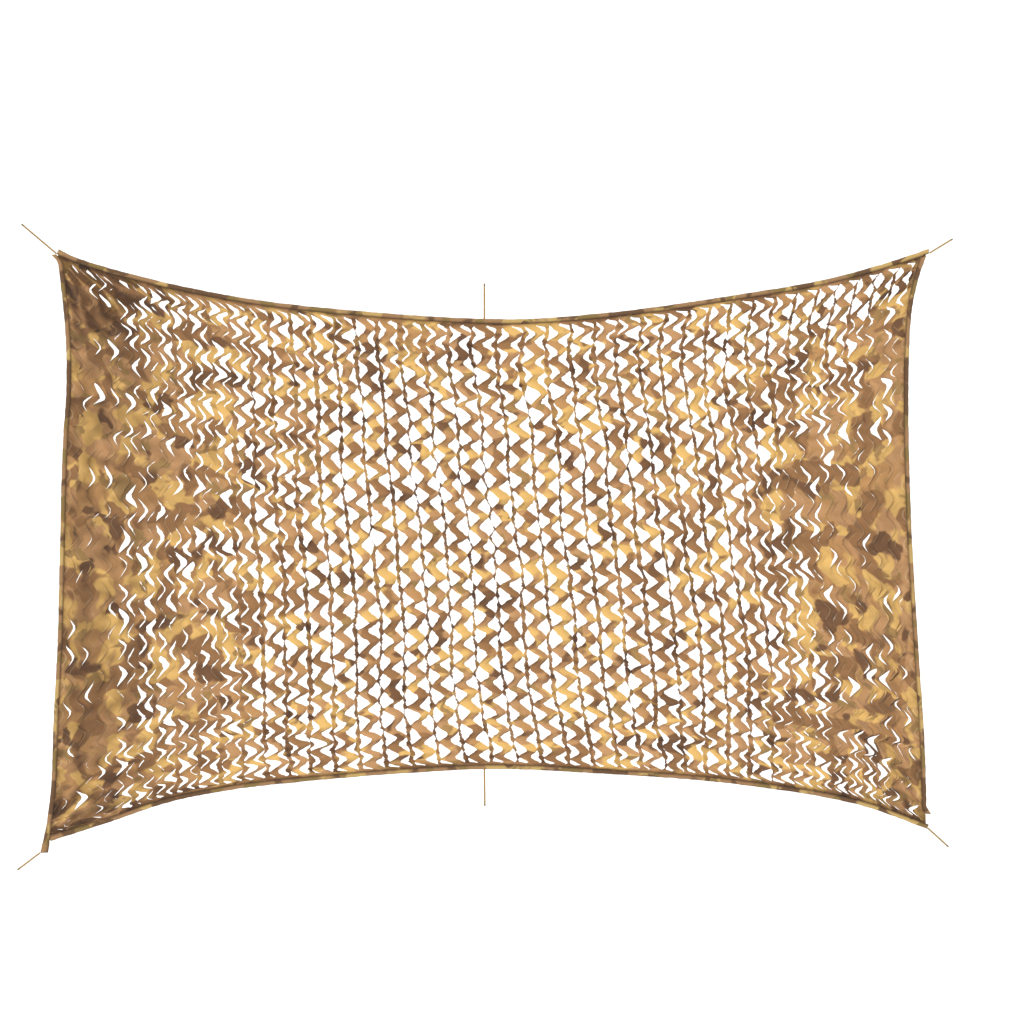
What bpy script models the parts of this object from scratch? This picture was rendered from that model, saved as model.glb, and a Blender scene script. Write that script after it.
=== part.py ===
"""Camouflage netting: one cloth panel cut with staggered zigzag slits and pulled open sideways,
bound on its four edges with folded tape, and stretched upright by six straight ties.

Metres, +Z up, the front facing -Y. The origin is on the outer edge of the top binding, at its
middle tie. The cut pattern is drawn at twice the pitch of the real cloth."""

import math

import bpy
import numpy as np

# ---------------------------------------------------------------- outline

# The outer edge of each binding, as stations that a smooth curve passes through.
TOP_EDGE = {  # left to right
    "x": (-2.010, -1.920, -1.650, -1.110, -0.560, 0.000, 0.125, 0.540, 1.150, 1.660, 2.000, 2.090),
    "z": (0.343, 0.304, 0.219, 0.100, 0.036, 0.000, -0.002, 0.026, 0.113, 0.209, 0.314, 0.347),
}
BOTTOM_EDGE = {  # left to right
    "x": (-2.079, -1.760, -1.478, -1.196, -0.820, -0.350, 0.000, 0.540, 1.249, 1.813, 2.081),
    "z": (-2.603, -2.494, -2.395, -2.336, -2.291, -2.251, -2.232, -2.254, -2.316, -2.425, -2.528),
}
LEFT_EDGE = {  # top to bottom
    "x": (-2.010, -1.967, -1.965, -1.981, -1.998, -2.007, -2.026, -2.044, -2.064, -2.079),
    "z": (0.343, -0.140, -0.313, -0.596, -1.235, -1.597, -1.994, -2.390, -2.534, -2.603),
}
RIGHT_EDGE = {  # top to bottom
    "x": (2.090, 2.041, 2.013, 1.997, 1.994, 2.006, 2.042, 2.073, 2.081),
    "z": (0.347, 0.197, 0.063, -0.174, -0.363, -0.973, -1.642, -2.177, -2.528),
}

# ---------------------------------------------------------------- cut pattern

COLUMNS = 14  # zigzag ribbons across the opened middle, each with a twisted strand beside it
ROWS = 11  # slits down the line on the left of a zigzag ribbon; the line on its right has one less
OPEN_FROM, OPEN_TO = 0.108, 0.892  # shares of the width between which the cloth is cut
FIRST_ROW, LAST_ROW = 0.022, 0.978  # shares of the height where the first and last slits end
RIBBON = 0.092  # width of a zigzag ribbon, measured level
STRAND = 0.044  # width of a strand as seen from the front
STRAND_SWING = 0.014  # how far a strand follows the zigzag of the ribbons
STRAND_DEPTH = 0.012  # how far a strand's edges stand before and behind the sheet
BRIDGE = 0.024  # uncut length that joins two ribbons
BAND_LINES = (0.040, 0.073)  # shares of the width where the uncut side bands may fold

# ---------------------------------------------------------------- cloth and tape

CLOTH = 0.0020  # thickness of the net
EDGE_INSET = 0.0050  # from a binding's outer edge to the net's cut edge
TAPE_WIDTH = 0.022  # width of one leaf of the folded tape
TAPE_WALL = 0.0015  # thickness of one leaf
TAPE_FOLD = 0.0025  # thickness of the folded edge
GAP = 0.0003  # between pieces that touch

# How a tape's end is shaped: at these distances from the end, how far the tape stands out past the
# sheet's edge, and how wide it is. "cut_back" is how much shorter its inner side is than its outer.
EAR = {"from_end": (0.000, 0.060), "out": (0.006, 0.000), "width": (0.026, 0.022), "cut_back": 0.000}
SQUARE = {"from_end": (0.000,), "out": (0.000,), "width": (0.022,), "cut_back": 0.000}
UPRIGHT = {"from_end": (0.000,), "out": (0.000,), "width": (0.022,), "cut_back": 0.008}
FLAP = {
    "from_end": (0.000, 0.014, 0.030, 0.050),
    "out": (0.028, 0.017, 0.006, 0.000),
    "width": (0.022, 0.022, 0.022, 0.022),
    "cut_back": 0.000,
}
FLAT_TUBE = {
    "from_end": (0.000, 0.049, 0.085, 0.140),
    "out": (0.000, 0.000, 0.000, 0.000),
    "width": (0.036, 0.034, 0.027, 0.022),
    "cut_back": 0.016,
}
GATHERED = {
    "from_end": (0.000, 0.150, 0.300),
    "out": (0.000, 0.000, 0.000),
    "width": (0.030, 0.026, 0.022),
    "cut_back": 0.009,
}
TUCKED = {"from_end": (0.000, 0.120), "out": (0.000, 0.000), "width": (0.027, 0.022), "cut_back": 0.018}
SPUR = {
    "from_end": (0.000, 0.016, 0.040),
    "out": (0.021, 0.011, 0.000),
    "width": (0.022, 0.022, 0.022),
    "cut_back": 0.000,
}

TAPES = {  # "start" and "stop" are the distances from its two ends to the corners; below 0, past them
    "binding_top": {
        "edge": TOP_EDGE,
        "inward": 1,
        "start": 0.008,
        "first_end": EAR,
        "stop": 0.000,
        "last_end": UPRIGHT,
    },
    "binding_bottom": {
        "edge": BOTTOM_EDGE,
        "inward": -1,
        "start": 0.041,
        "first_end": GATHERED,
        "stop": 0.000,
        "last_end": SQUARE,
    },
    "binding_left": {
        "edge": LEFT_EDGE,
        "inward": -1,
        "start": 0.024,
        "first_end": FLAP,
        "stop": -0.046,
        "last_end": FLAT_TUBE,
    },
    "binding_right": {
        "edge": RIGHT_EDGE,
        "inward": 1,
        "start": 0.037,
        "first_end": TUCKED,
        "stop": 0.074,
        "last_end": SPUR,
    },
}
TAPE_STEP = 0.130  # distance between two sections of a tape
NEAR_END = (0.014, 0.030, 0.050, 0.085)  # the extra sections near each end

# ---------------------------------------------------------------- folds

CORNER_PULLS = {  # folds that spread from a corner into the cloth
    "x": (-2.010, 2.090, -2.079, 2.081),
    "z": (0.343, 0.347, -2.603, -2.528),
    "depth": (0.026, 0.018, 0.022, 0.018),
    "reach": (0.60, 0.42, 0.55, 0.48),
    "folds": (7.0, 6.0, 7.0, 6.0),  # waves in a full turn round the corner
    "turn": (0.6, 1.9, 0.2, 1.1),  # where the first of them lies
}
SWAY = 0.010  # depth of the slow waves over the whole sheet
SWAY_LENGTH = (1.45, 1.10)  # their length across and down
SWAY_TURN = 0.8  # where the first of them lies
PLEAT = 0.014  # depth of the upright folds in the drawn-up cloth at both sides
PLEAT_LENGTH = 0.27
PLEAT_RUN = 0.054  # share of the width over which they fade out towards the opened middle
FLAT_MARGIN = 0.030  # the cloth stays flat this far in from its outer edge
RUN_IN = 0.130  # and takes its full depth over this distance

# ---------------------------------------------------------------- ties

TIE_DIAMETER = 0.008
TIE_STEP = 0.020  # distance between two points of a tie
TIES = {  # x and z where it is sewn to its tape, at its middle and at its free, cut end
    "tie_top_left": {"x": (-2.0118, -2.094, -2.177), "z": (0.3227, 0.396, 0.470)},
    "tie_top_middle": {"x": (0.000, 0.000, 0.000), "z": (0.001, 0.088, 0.175)},
    "tie_top_right": {"x": (2.0928, 2.1225, 2.202), "z": (0.3255, 0.345, 0.396)},
    "tie_bottom_left": {"x": (-2.0898, -2.142, -2.196), "z": (-2.6475, -2.689, -2.732)},
    "tie_bottom_middle": {"x": (0.000, 0.001, 0.002), "z": (-2.2331, -2.324, -2.415)},
    "tie_bottom_right": {"x": (2.0846, 2.133, 2.182), "z": (-2.5244, -2.5705, -2.618)},
}

FINISHES = {  # base colour (linear), roughness
    "cloth": ((0.42, 0.27, 0.12), 0.85),
    "tape": ((0.27, 0.18, 0.07), 0.85),
    "cord": ((0.60, 0.42, 0.22), 0.90),
}


def clear_scene():
    for old in list(bpy.data.objects):
        bpy.data.objects.remove(old, do_unlink=True)


def finish(name):
    """The material of this name, made once."""
    found = bpy.data.materials.get(name)
    if found:
        return found
    colour, roughness = FINISHES[name]
    made = bpy.data.materials.new(name)
    made.use_nodes = True
    shader = made.node_tree.nodes["Principled BSDF"]
    shader.inputs["Base Color"].default_value = (*colour, 1.0)
    shader.inputs["Roughness"].default_value = roughness
    shader.inputs["Metallic"].default_value = 0.0
    return made


def add_object(name, data, material):
    piece = bpy.data.objects.new(name, data)
    bpy.context.scene.collection.objects.link(piece)
    data.materials.append(material)
    return piece


def length_of(edge):
    """Length of the straight runs between an edge's stations."""
    points = np.column_stack([edge["x"], edge["z"]])
    return np.linalg.norm(np.diff(points, axis=0), axis=1).sum()


def along(edge, shares):
    """Points at these shares of an edge's length, on a cubic between each two stations that leaves
    a station in the direction of the line through its neighbours. Past the ends it runs on straight."""
    points = np.column_stack([edge["x"], edge["z"]])
    steps = np.linalg.norm(np.diff(points, axis=0), axis=1)
    at = np.concatenate([[0.0], np.cumsum(steps)])
    slopes = np.gradient(points, at, axis=0)
    wanted = np.asarray(shares, float) * at[-1]
    inside = np.clip(wanted, 0.0, at[-1])
    first = np.clip(np.searchsorted(at, inside, side="right") - 1, 0, len(steps) - 1)
    step = steps[first][..., None]
    f = (inside[..., None] - at[first][..., None]) / step
    found = (
        (1 + 2 * f) * (1 - f) ** 2 * points[first]
        + f * (1 - f) ** 2 * step * slopes[first]
        + f**2 * (3 - 2 * f) * points[first + 1]
        + f**2 * (f - 1) * step * slopes[first + 1]
    )
    before = np.minimum(wanted, 0.0)[..., None] * slopes[0]
    after = np.maximum(wanted - at[-1], 0.0)[..., None] * slopes[-1]
    return found + before + after


def on_sheet(across, down):
    """x and z at these shares of the sheet's width and height: the patch between the four edges,
    each pair of edges blended straight across it and the four corners taken off once."""
    a = np.asarray(across, float)[..., None]
    d = np.asarray(down, float)[..., None]
    top, bottom = along(TOP_EDGE, across), along(BOTTOM_EDGE, across)
    left, right = along(LEFT_EDGE, down), along(RIGHT_EDGE, down)
    corners = (
        (1 - a) * (1 - d) * along(TOP_EDGE, 0.0)
        + a * (1 - d) * along(TOP_EDGE, 1.0)
        + (1 - a) * d * along(BOTTOM_EDGE, 0.0)
        + a * d * along(BOTTOM_EDGE, 1.0)
    )
    return (1 - d) * top + d * bottom + (1 - a) * left + a * right - corners


WIDTH = length_of(TOP_EDGE)
HEIGHT = np.interp(0.0, TOP_EDGE["x"], TOP_EDGE["z"]) - np.interp(0.0, BOTTOM_EDGE["x"], BOTTOM_EDGE["z"])


def smooth(share):
    """0 below 0, 1 above 1, and a smooth rise between."""
    share = np.clip(share, 0.0, 1.0)
    return share * share * (3 - 2 * share)


def off_the_hem(across, down):
    """0 in the flat margin that the bindings hold, rising to 1 inside it."""
    sideways = np.minimum(across, 1 - across) * WIDTH
    upright = np.minimum(down, 1 - down) * HEIGHT
    return smooth((np.minimum(sideways, upright) - FLAT_MARGIN) / RUN_IN)


def fold_depth(x, z, across):
    """How far the cloth stands behind the plane of the bindings: slow waves over the whole sheet,
    pulls that fan out from each corner, and upright pleats in the drawn-up cloth at both sides."""
    depth = SWAY * np.sin(math.tau * x / SWAY_LENGTH[0] + SWAY_TURN)
    depth = depth * np.cos(math.tau * z / SWAY_LENGTH[1])
    for cx, cz, deep, reach, folds, turn in zip(*CORNER_PULLS.values()):
        far = np.hypot(x - cx, z - cz)
        angle = np.arctan2(z - cz, x - cx)
        depth = depth + deep * np.exp(-((far / reach) ** 2)) * np.sin(folds * angle + turn)
    at_side = smooth((OPEN_FROM - np.minimum(across, 1 - across)) / PLEAT_RUN)
    return depth + PLEAT * at_side * np.sin(math.tau * x / PLEAT_LENGTH)


def cut_levels():
    """Shares of the height at both ends of each bridge, from the top, and the half row that each lies
    in, which counts half the pitch of the slits."""
    half_rows = 2 * ROWS
    half_pitch = (LAST_ROW - FIRST_ROW) / half_rows
    end = BRIDGE / 2 / HEIGHT
    levels = [FIRST_ROW]
    rows = [0]
    for row in range(1, half_rows):
        middle = FIRST_ROW + row * half_pitch
        levels += [middle - end, middle + end]
        rows += [row, row]
    return np.array(levels + [LAST_ROW]), np.array(rows + [half_rows])


def net_lines():
    """The cut lines: for each, its x offsets from the sheet on both sides of the cut at each level,
    the share of the width that they are measured from, its depth, and where it is closed."""
    _, rows = cut_levels()
    swing = np.where(rows % 2 == 0, -1.0, 1.0)  # zigzags point left at even half rows
    pitch = (OPEN_TO - OPEN_FROM) / COLUMNS
    ribbon_swing = pitch * WIDTH + STRAND_SWING - STRAND - RIBBON
    at_hem = (rows == 0) | (rows == 2 * ROWS)
    lines = []
    for column in range(COLUMNS):
        ribbon = OPEN_FROM + (column + 0.5) * pitch
        zigzag = ribbon_swing / 2 * swing
        strand = STRAND_SWING / 2 * swing
        half = pitch * WIDTH / 2
        left = {
            "share": ribbon,
            "offsets": (strand - half + STRAND / 2, zigzag - RIBBON / 2),
            "depth": -STRAND_DEPTH,
            "closed": (rows % 2 == 0) | at_hem,
        }
        right = {
            "share": ribbon,
            "offsets": (zigzag + RIBBON / 2, strand + half - STRAND / 2),
            "depth": STRAND_DEPTH,
            "closed": (rows % 2 == 1) | at_hem,
        }
        lines += [left, right]
    return lines


def net_mesh():
    """The net as a surface: columns of points on both sides of every cut line, which are one column
    where the line is uncut, and a face between each two neighbours."""
    levels, rows = cut_levels()
    hem = EDGE_INSET / HEIGHT
    margin = FLAT_MARGIN / HEIGHT
    down = np.concatenate([[hem, margin], levels, [1 - margin, 1 - hem]])
    points, count = [], 0
    sides = []  # pairs of point numbers: the left and the right side of each line of points

    def place(share, offset, depth):
        nonlocal count
        across = np.full(len(down), share) + offset / WIDTH
        x, z = on_sheet(across, down).T
        y = off_the_hem(across, down) * (fold_depth(x, z, across) + depth)
        points.append(np.column_stack([x, y, z]))
        count += len(down)
        return np.arange(count - len(down), count)

    def plain_line(share):
        numbers = place(share, 0.0, 0.0)
        sides.append((numbers, numbers))

    side_margin = FLAT_MARGIN / WIDTH
    band_lines = np.array((EDGE_INSET / WIDTH, side_margin, *BAND_LINES))
    for share in band_lines:
        plain_line(share)
    quarter = (OPEN_TO - OPEN_FROM) / COLUMNS / 4 * WIDTH
    for line in net_lines():
        closed = np.concatenate([[True, True], line["closed"], [True, True]])
        middle = -quarter if line["depth"] < 0 else quarter
        offsets = []
        for side in line["offsets"]:
            whole = np.concatenate([[middle, middle], side, [middle, middle]])
            offsets.append(whole)
        joined = (offsets[0] + offsets[1]) / 2
        offsets = [np.where(closed, joined, side) for side in offsets]
        left = place(line["share"], offsets[0], line["depth"])
        right = place(line["share"], offsets[1], line["depth"])
        sides.append((left, np.where(closed, left, right)))
    for share in 1 - band_lines[::-1]:
        plain_line(share)

    faces = []
    for (_, left), (right, _) in zip(sides[:-1], sides[1:]):
        faces.append(np.column_stack([left[1:], right[1:], right[:-1], left[:-1]]))
    faces = np.concatenate(faces)
    used, faces = np.unique(faces, return_inverse=True)
    return np.concatenate(points)[used], faces.reshape(-1, 4)


def build_net():
    points, faces = net_mesh()
    mesh = bpy.data.meshes.new("net")
    mesh.from_pydata(points.tolist(), [], faces.tolist())
    net = add_object("net", mesh, finish("cloth"))
    thickness = net.modifiers.new("thickness", "SOLIDIFY")
    thickness.thickness = CLOTH
    thickness.offset = 0.0


def tape_outline(tape):
    """Points along both sides of a tape, the outer and the inner, from its first end to its last."""
    length = length_of(tape["edge"])
    first, last = tape["start"], length - tape["stop"]
    near = np.array(NEAR_END)
    run = np.linspace(first, last, round((last - first) / TAPE_STEP) + 1)[1:-1]
    run = run[(run > first + near[-1]) & (run < last - near[-1])]
    run = np.concatenate([[first], first + near, run, (last - near)[::-1], [last]])
    path = along(tape["edge"], run / length)
    ahead = np.gradient(path, run, axis=0)
    ahead /= np.linalg.norm(ahead, axis=1, keepdims=True)
    inward = tape["inward"] * np.column_stack([ahead[:, 1], -ahead[:, 0]])
    out, width = 0.0, TAPE_WIDTH
    for shape, from_end in ((tape["first_end"], run - first), (tape["last_end"], last - run)):
        out = out + np.interp(from_end, shape["from_end"], shape["out"])
        width = width + np.interp(from_end, shape["from_end"], shape["width"]) - TAPE_WIDTH
    outer = path - inward * np.asarray(out)[:, None]
    inner = outer + inward * width[:, None]
    inner[0] += ahead[0] * tape["first_end"]["cut_back"]
    inner[-1] -= ahead[-1] * tape["last_end"]["cut_back"]
    return outer, inner


def build_tape(name, tape):
    """A U section carried along the edge. The middle of its folded edge is solid; its corners are
    given as shares of the width and distances from the outer edge, and as depths."""
    slot = CLOTH / 2 + GAP
    thick = slot + TAPE_WALL
    share = np.array((0.0, 1.0, 1.0, 0.0, 0.0, 1.0, 1.0, 0.0))
    from_edge = np.array((0.0, 0.0, 0.0, TAPE_FOLD, TAPE_FOLD, 0.0, 0.0, 0.0))
    depth = np.array((-thick, -thick, -slot, -slot, slot, slot, thick, thick))
    outer, inner = tape_outline(tape)
    across = inner - outer
    width = np.linalg.norm(across, axis=1)
    share = share + from_edge / width[:, None]
    level = outer[:, None, :] + across[:, None, :] * share[..., None]
    stations, corners = share.shape
    depth = np.broadcast_to(depth, (stations, corners))
    points = np.stack([level[..., 0], depth, level[..., 1]], axis=-1).reshape(-1, 3)
    number = np.arange(stations * corners).reshape(stations, corners)
    after = np.roll(number, -1, axis=1)
    walls = np.stack([number[:-1], after[:-1], after[1:], number[1:]], axis=-1).reshape(-1, 4)
    faces = [*walls.tolist(), number[0][::-1].tolist(), number[-1].tolist()]
    if tape["inward"] < 0:
        faces = [face[::-1] for face in faces]
    mesh = bpy.data.meshes.new(name)
    mesh.from_pydata(points.tolist(), [], faces)
    add_object(name, mesh, finish("tape"))


def tie_line(route):
    """Points evenly along the smooth curve through a tie's route."""
    steps = max(2, round(length_of(route) / TIE_STEP))
    return along(route, np.linspace(0.0, 1.0, steps + 1))


def build_tie(name, route):
    line = tie_line(route)
    curve = bpy.data.curves.new(name, "CURVE")
    curve.dimensions = "3D"
    curve.bevel_depth = TIE_DIAMETER / 2
    curve.bevel_resolution = 2
    curve.use_fill_caps = True
    spline = curve.splines.new("POLY")
    spline.points.add(len(line) - 1)
    for point, (x, z) in zip(spline.points, line):
        point.co = (x, 0.0, z, 1.0)
    add_object(name, curve, finish("cord"))


def main():
    clear_scene()
    build_net()
    for name, tape in TAPES.items():
        build_tape(name, tape)
    for name, route in TIES.items():
        build_tie(name, route)


main()
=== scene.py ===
"""Looks of the camouflage netting: a cloth slit in zigzag lines and pulled open sideways, bound with
folded tape and stretched upright by six cords. Metres, +Z up, the front facing -Y."""

import math

import bpy
import numpy as np
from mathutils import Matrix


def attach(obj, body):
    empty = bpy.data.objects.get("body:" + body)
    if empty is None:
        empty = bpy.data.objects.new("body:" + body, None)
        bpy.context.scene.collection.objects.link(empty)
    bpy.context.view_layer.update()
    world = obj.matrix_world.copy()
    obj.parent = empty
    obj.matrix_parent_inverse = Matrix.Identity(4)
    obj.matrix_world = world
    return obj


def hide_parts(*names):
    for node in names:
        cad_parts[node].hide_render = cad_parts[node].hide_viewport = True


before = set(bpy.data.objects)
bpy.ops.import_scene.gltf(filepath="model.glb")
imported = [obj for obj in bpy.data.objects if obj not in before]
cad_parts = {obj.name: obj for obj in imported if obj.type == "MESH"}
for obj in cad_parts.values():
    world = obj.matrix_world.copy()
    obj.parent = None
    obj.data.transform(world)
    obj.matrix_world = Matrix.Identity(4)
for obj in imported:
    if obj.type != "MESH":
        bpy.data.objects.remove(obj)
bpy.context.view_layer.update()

# ---- camera

FRAME_PIXELS = 1024
PIXEL_ACROSS = 0.004702  # metres for one pixel of the square frame, at the net
AIM = (0.1298, 0.0, -0.9577)  # the middle of the frame
RAISED = math.radians(18.46)  # looks down this far, which draws the upright net 5% lower
DISTANCE = 20.0

# ---- outline, as the solids have it

TOP_EDGE = {  # left to right
    "x": (-2.01, -1.92, -1.65, -1.11, -0.56, 0.0, 0.125, 0.54, 1.15, 1.66, 2.0, 2.09),
    "z": (0.343, 0.304, 0.219, 0.1, 0.036, 0.0, -0.002, 0.026, 0.113, 0.209, 0.314, 0.347),
}
BOTTOM_EDGE = {  # left to right
    "x": (-2.079, -1.76, -1.478, -1.196, -0.82, -0.35, 0.0, 0.54, 1.249, 1.813, 2.081),
    "z": (-2.603, -2.494, -2.395, -2.336, -2.291, -2.251, -2.232, -2.254, -2.316, -2.425, -2.528),
}
LEFT_EDGE = {  # top to bottom
    "x": (-2.01, -1.967, -1.965, -1.981, -1.998, -2.007, -2.026, -2.044, -2.064, -2.079),
    "z": (0.343, -0.14, -0.313, -0.596, -1.235, -1.597, -1.994, -2.39, -2.534, -2.603),
}
RIGHT_EDGE = {  # top to bottom
    "x": (2.09, 2.041, 2.013, 1.997, 1.994, 2.006, 2.042, 2.073, 2.081),
    "z": (0.347, 0.197, 0.063, -0.174, -0.363, -0.973, -1.642, -2.177, -2.528),
}

# ---- folds, as the solids have them

CORNER_PULLS = {  # folds that spread from a corner into the cloth
    "x": (-2.01, 2.09, -2.079, 2.081),
    "z": (0.343, 0.347, -2.603, -2.528),
    "depth": (0.026, 0.018, 0.022, 0.018),
    "reach": (0.6, 0.42, 0.55, 0.48),
    "folds": (7.0, 6.0, 7.0, 6.0),  # waves in a full turn round the corner
    "turn": (0.6, 1.9, 0.2, 1.1),  # where the first of them lies
}
SWAY = 0.01  # depth of the slow waves over the whole sheet
SWAY_LENGTH = (1.45, 1.1)  # their length across and down
SWAY_TURN = 0.8  # where the first of them lies
PLEAT = 0.014  # depth of the upright folds in the drawn-up cloth at both sides
PLEAT_LENGTH = 0.27
PLEATS_TO = 0.108  # share of the width that they reach in to
PLEAT_RUN = 0.054  # share of the width over which they fade out
FLAT_MARGIN = 0.03  # the cloth stays flat this far in
RUN_IN = 0.13  # and takes its full depth over this distance

# ---- finer creases

CREASES = {  # sharp creases that spread from the same corners
    "depth": (0.011, 0.004, 0.007, 0.006),
    "reach": (0.38, 0.24, 0.36, 0.36),
    "folds": (29.0, 22.0, 26.0, 25.0),
    "dark": (2.5, 0.6, 0.8, 0.8),  # how much painted shade darkens the cloth in them
}
DENT_SLACK, DENT_OPEN = 0.0065, 0.0022  # depth of dents in slack and in opened cloth
PAINTED_SHADE_ACROSS = {  # painted shade across the width: most at the left side, none in the middle, some at the right
    "share": (0.0, 0.05, 0.1, 0.14, 0.22, 0.3, 0.75, 0.9, 1.0),
    "left_to_right": (0.48, 0.48, 0.36, 0.18, 0.05, 0.0, 0.0, 0.1, 0.22),
}
CREASE_SHADE_SHARES = (0.42, 0.58)  # of a crease's painted shade, the share all round it and that in its fold
HEM_SHADE, HEM_SHADE_REACH = 0.9, 0.035  # painted shade along both hems, fading over this distance
PATCHY = 0.7  # how much all this painted shade varies from place to place
DEPTH_LIMIT = 0.031  # nothing stands further before or behind the bindings

# ---- cut pattern

COLUMNS = 40  # zigzag ribbons, with a strand on both sides of each
HALF_ROWS = 45  # arms of one zigzag, from the top hem to the bottom hem
FLAT_PITCH = 0.086  # a ribbon and a strand of the uncut cloth
FLAT_ARM = 0.0655  # height of one arm in the uncut cloth
FLAT_SWING = 0.038  # how far a cut line runs from side to side there
EDGE_INSET = 0.005  # the cloth's own edge, inside the binding
FIRST_CUT, LAST_CUT = 0.034, 0.032  # from each hem to the nearest slit
SIDE_BAND = 0.045  # from a side's outer edge to the first strand's middle
SPACING = {  # from strand to strand, along the top hem and below it, at shares of the width
    "share": (0.0, 0.08, 0.13, 0.2, 0.27, 0.34, 0.48, 0.55, 0.62, 0.69, 0.76, 0.83, 0.88, 0.92, 0.96, 1.0),
    "top": (84, 88, 94, 100, 105, 110, 116, 118, 114, 110, 108, 107, 106, 104, 100, 98),
    "below": (84, 90, 95, 101, 105, 112, 118, 120, 115, 108, 104, 100, 90, 74, 66, 66),
}
TOP_FADE = 0.7  # share of the height over which the one gives way to the other
OPEN = {  # share of a spacing that stands open, at shares of the width and of the height
    "across": (0.0, 0.06, 0.12, 0.18, 0.25, 0.35, 0.48, 0.58, 0.68, 0.78, 0.85, 0.9, 0.95, 1.0),
    "down": (0.0, 0.08, 0.15, 0.4, 0.8, 0.92, 1.0),
    "rows": (
        (0.02, 0.06, 0.1, 0.12, 0.15, 0.24, 0.27, 0.27, 0.29, 0.34, 0.41, 0.48, 0.5, 0.44),
        (0.01, 0.05, 0.1, 0.12, 0.19, 0.29, 0.29, 0.27, 0.3, 0.33, 0.38, 0.42, 0.42, 0.32),
        (0.0, 0.02, 0.08, 0.12, 0.21, 0.34, 0.34, 0.31, 0.32, 0.33, 0.32, 0.24, 0.1, 0.0),
        (0.0, 0.0, 0.1, 0.12, 0.25, 0.41, 0.45, 0.42, 0.32, 0.31, 0.15, 0.03, 0.0, 0.0),
        (0.0, 0.0, 0.11, 0.13, 0.26, 0.39, 0.44, 0.42, 0.33, 0.31, 0.14, 0.03, 0.01, 0.0),
        (0.01, 0.07, 0.16, 0.18, 0.26, 0.35, 0.39, 0.38, 0.32, 0.3, 0.17, 0.09, 0.07, 0.02),
        (0.03, 0.1, 0.17, 0.17, 0.23, 0.31, 0.35, 0.35, 0.33, 0.31, 0.19, 0.11, 0.09, 0.04),
    ),
}
HANG = {  # how ribbons and strands hang where that share stands open; sizes in millimetres
    "open": (0.0, 0.08, 0.16, 0.25, 0.33, 0.4, 0.45, 0.5),
    "ribbon": (0.5, 0.51, 0.56, 0.64, 0.72, 0.78, 0.82, 0.84),  # a ribbon's share of the cloth
    "swing": (38, 34, 26, 16, 6, -4, -15, -25),  # of a strand to the right, where the ribbons swing right
    "depth": (6.0, 6.0, 7.0, 8.5, 10.0, 11.5, 12.5, 13.0),  # of a strip's edges before and behind
    "twist": (0.0, 0.15, 0.45, 0.75, 0.9, 1.0, 1.0, 1.0),  # 1 where a strand is twisted edge-on
    "uneven": (2.0, 5.0, 8.0, 9.0, 8.0, 6.0, 5.0, 4.0),  # how far a strand is drawn aside at a bridge
    "gaping": (0.025, 0.2, 0.25, 0.14, 0.04, 0.0, 0.0, 0.0),  # share of the slits that gape
}
GATHERED_BELOW, GATHERED_DEPTH = 0.08, 0.006  # a spacing of gathered cloth, and how deep it folds
UNEVEN_OPEN = 0.07  # how much the open share varies from place to place
PINCH = 0.18  # share of a ribbon's width that is folded away at its bridges
LOWER_DOWN = 0.09  # how much taller the rows are at the top, and lower at the bottom
TALL_SIDE = 0.27  # how much taller they are halfway down the two sides
SQUASH_TOP, SQUASH_BOTTOM = 0.12, 0.4  # how much lower they are right at the hems
SQUASH_REACH = 0.045  # share of the height over which that fades
CALM_ARMS = 0.3  # arms from a hem to where the slits first stand fully open
HEM_SLIDE = {  # how far to the right the strands are drawn along the hems, in millimetres
    "share": (0.0, 0.08, 0.25, 0.45, 0.58, 0.74, 0.9, 1.0),
    "top": (0, -34, -30, -4, 0, 8, 6, 0),
    "bottom": (0, 20, 60, 105, 60, 40, 20, 0),
    "reach": 0.28,  # metres from the hem over which that fades
}
NARROWED = 0.12  # share of a ribbon turned back where it runs down to the left
RIBBON_BELLY = 0.005  # how far a ribbon's middle comes forward
EDGE_CURL = 0.0015  # how far a cut edge curls back
RAGGED = 0.002  # unevenness of the cut edges
CRUMPLE = 0.0028  # depth of the short creases that run along a ribbon
COLUMN_OPEN = 0.07  # how much the open share varies from column to column
STRAND_AHEAD = 0.0015  # how far a strand's edges lie in front of the ribbons
GAPE = (0.012, 0.034)  # how much wider than the rest a gaping slit stands
UNLIKE = 0.006  # how much the others differ, and twice that in slack cloth
LOPSIDED = 0.55  # how far from a slit's middle it may stand widest
SHUT = 0.009  # how far the others' two sides lie over each other in slack cloth
WANDER = (0.03, 0.01)  # how far a strand strays sideways over long and over short distances
ROW_DRIFT = (0.018, 0.008)  # how far the rows stray up and down, likewise
RIBBON_UNEVEN, STRAND_UNEVEN = 0.1, 0.3  # how much a strip's width varies
KNOT_WIDER = 0.3  # how much wider a twisted strand is at its bridges
TURNED_BACK = 0.005  # how far a narrowed ribbon's left edge turns back
RIBBON_SHADE = (0.75, 0.16)  # painted shade on a ribbon where it turns back, and on each second arm
TUCKED_RIGHT_SHADOW = 0.3  # painted shadow on its right edge under a strand in slack cloth; its left edge is at 1
STRAND_SHADE = (0.62, 0.22, 0.6)  # painted shade on a twisted strand: throughout, at bridges, unevenly
FLAT_STRAND_SHADE = 0.24  # painted shade on an untwisted one, as a share of that
LEVELS = (0.0, 0.12, 0.26, 0.42, 0.58, 0.74, 0.88)  # of points within one arm; bridges end at the second
RIBBON_PARTS = (0.0, 0.14, 0.5, 0.86, 1.0)  # places of points across a strip
STRAND_PARTS = (0.0, 0.25, 0.75, 1.0)

# ---- tape and cords, as the solids have them

TAPE_WIDTH = 0.022
TAPE_WALL = 0.0015
TAPE_SLOT = 0.0013  # from the middle of the cloth to the inside of a leaf
TAPE_STEP = 0.01

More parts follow.
